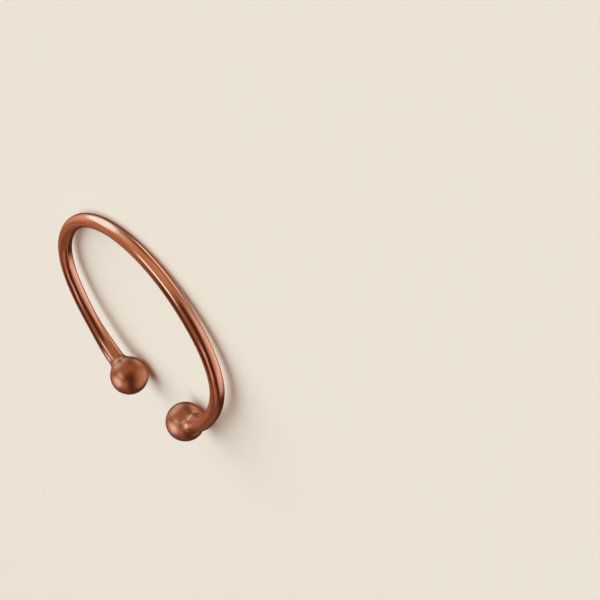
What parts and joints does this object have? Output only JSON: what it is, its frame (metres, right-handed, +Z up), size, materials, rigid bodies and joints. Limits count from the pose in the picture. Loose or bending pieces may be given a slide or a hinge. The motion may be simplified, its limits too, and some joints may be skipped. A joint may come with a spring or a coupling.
{
  "type": "copper cuff bracelet with ball ends",
  "caption": "Open oval cuff bracelet of round polished copper rod with a ball on each end, lying on its side.",
  "frame": {"origin": "on the surface that the bracelet lies on, under the middle of its box", "axes": "+X along the width of the oval, +Y from the open side towards the closed top of the oval, +Z up, close to the axis of the wrist hole"},
  "size_m": [0.076, 0.068, 0.0114],
  "materials": {
    "copper": "polished"
  },
  "bodies": {
    "root": {"cuff": "copper"}
  },
  "joints": []
}
